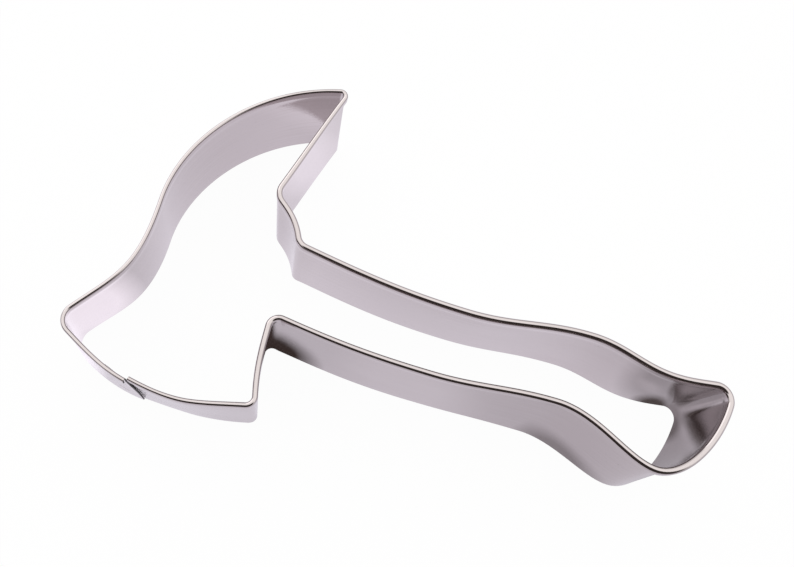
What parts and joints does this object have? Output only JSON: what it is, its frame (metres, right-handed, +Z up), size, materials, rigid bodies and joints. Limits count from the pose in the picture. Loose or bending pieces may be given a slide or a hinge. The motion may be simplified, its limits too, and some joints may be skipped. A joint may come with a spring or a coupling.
{
  "type": "cookie cutter",
  "caption": "Axe-shaped cookie cutter of thin stainless steel strip with a folded safe rim on top, a raw cutting edge below and a lapped, spot-welded seam, for rolled dough.",
  "frame": {"origin": "under the middle of the cutter's box, on the plane of the cutting edge", "axes": "+X along the handle from the head to the butt, +Y towards the spike, +Z up from the cutting edge to the folded rim"},
  "size_m": [0.135, 0.0738, 0.025],
  "materials": {
    "strip_steel": "bright rolled stainless strip with fine lengthwise rolling lines",
    "weld_steel": "dull grey resistance weld with a faint heat tint"
  },
  "bodies": {
    "root": {"cutter_strip": "strip_steel", "spot_weld_lower": "weld_steel", "spot_weld_upper": "weld_steel"}
  },
  "joints": []
}
